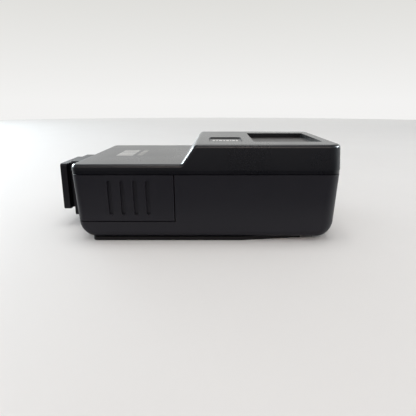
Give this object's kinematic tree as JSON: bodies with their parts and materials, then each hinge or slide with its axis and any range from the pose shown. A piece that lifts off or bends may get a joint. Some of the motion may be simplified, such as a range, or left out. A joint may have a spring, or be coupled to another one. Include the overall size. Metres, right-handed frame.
{
  "type": "wireless flash trigger",
  "caption": "Stepped black plastic trigger that slides into an accessory shoe and fires studio flash through a dark infrared window; sliding battery door, test button and sync socket.",
  "frame": {"origin": "bottom centre of the whole trigger as it lies on its back", "axes": "+X from the shoe foot to the raised end, +Y from the battery door to the switch side, +Z out of the stepped face"},
  "size_m": [0.0902, 0.0532, 0.0295],
  "materials": {
    "lower_plastic": "fine matte moulded black",
    "upper_plastic": "satin moulded black",
    "foot_plastic": "satin moulded black",
    "window_filter": "dark infrared filter",
    "badge_metal": "black anodised, printed",
    "contact_metal": "nickel plated",
    "sheet_steel": "zinc plated",
    "screw_steel": "black oxide",
    "spring_steel": "bright",
    "insulator": "smooth black",
    "tray_plastic": "moulded black",
    "cell_jacket": "printed steel jacket, plain grey",
    "lead_sleeve": "smooth insulation",
    "circuit_board": "solder mask",
    "reflector_metal": "bright anodised",
    "tube_glass": "clear",
    "seat_rubber": "white silicone",
    "capacitor_sleeve": "shrink sleeve",
    "ferrite": "sintered",
    "winding_copper": "taped winding",
    "chip_plastic": "moulded",
    "control_plastic": "fine matte moulded",
    "pad_rubber": "fine matte",
    "lamp_lens": "translucent red"
  },
  "bodies": {
    "casing": {"lower_shell": "lower_plastic", "back_pad": "pad_rubber", "upper_shell": "upper_plastic", "window_panel": "window_filter", "badge_plate": "badge_metal", "foot_plate": "foot_plastic", "foot_block": "foot_plastic", "foot_backing_plate": "sheet_steel", "foot_screws": "screw_steel", "contact_bush": "insulator", "contact_spring": "spring_steel", "battery_tray": "tray_plastic", "battery_cell_left": "cell_jacket", "battery_cell_right": "cell_jacket", "rear_contacts": "contact_metal", "rear_spring": "spring_steel", "battery_leads": "lead_sleeve", "main_board": "circuit_board", "board_screws": "screw_steel", "switch_board": "circuit_board", "case_screws": "screw_steel", "reflector": "reflector_metal", "flash_tube": "tube_glass", "tube_caps": "contact_metal", "tube_seats": "seat_rubber", "tube_brackets": "tray_plastic", "main_capacitor": "capacitor_sleeve", "transformer_core": "ferrite", "transformer_winding": "winding_copper", "trigger_coil": "winding_copper", "control_chip": "chip_plastic", "small_parts": "chip_plastic", "tactile_switch": "chip_plastic", "ready_lamp": "lamp_lens", "power_switch": "chip_plastic", "sync_jack": "insulator", "jack_ring": "contact_metal"},
    "door": {"battery_door": "lower_plastic", "door_contact": "contact_metal"},
    "centre_contact": {"contact_pin": "contact_metal"},
    "test_key": {"test_button": "control_plastic", "switch_plunger": "chip_plastic"},
    "power_slider": {"power_knob": "control_plastic"}
  },
  "joints": [
    {"name": "door_slide", "type": "slide", "parent": "casing", "child": "door", "axis": [-1, 0, 0], "range_m": [0, 0.034]},
    {"name": "contact_press", "type": "slide", "parent": "casing", "child": "centre_contact", "axis": [1, 0, 0], "range_m": [0, 0.0006], "stiffness_N_per_m": 400, "springref_m": -0.0005, "deforming": ["contact_spring"]},
    {"name": "test_press", "type": "slide", "parent": "casing", "child": "test_key", "axis": [-1, 0, 0], "range_m": [0, 0.0005], "stiffness_N_per_m": 600, "springref_m": -0.0005},
    {"name": "power_slide", "type": "slide", "parent": "casing", "child": "power_slider", "axis": [1, 0, 0], "range_m": [0, 0.003]}
  ]
}
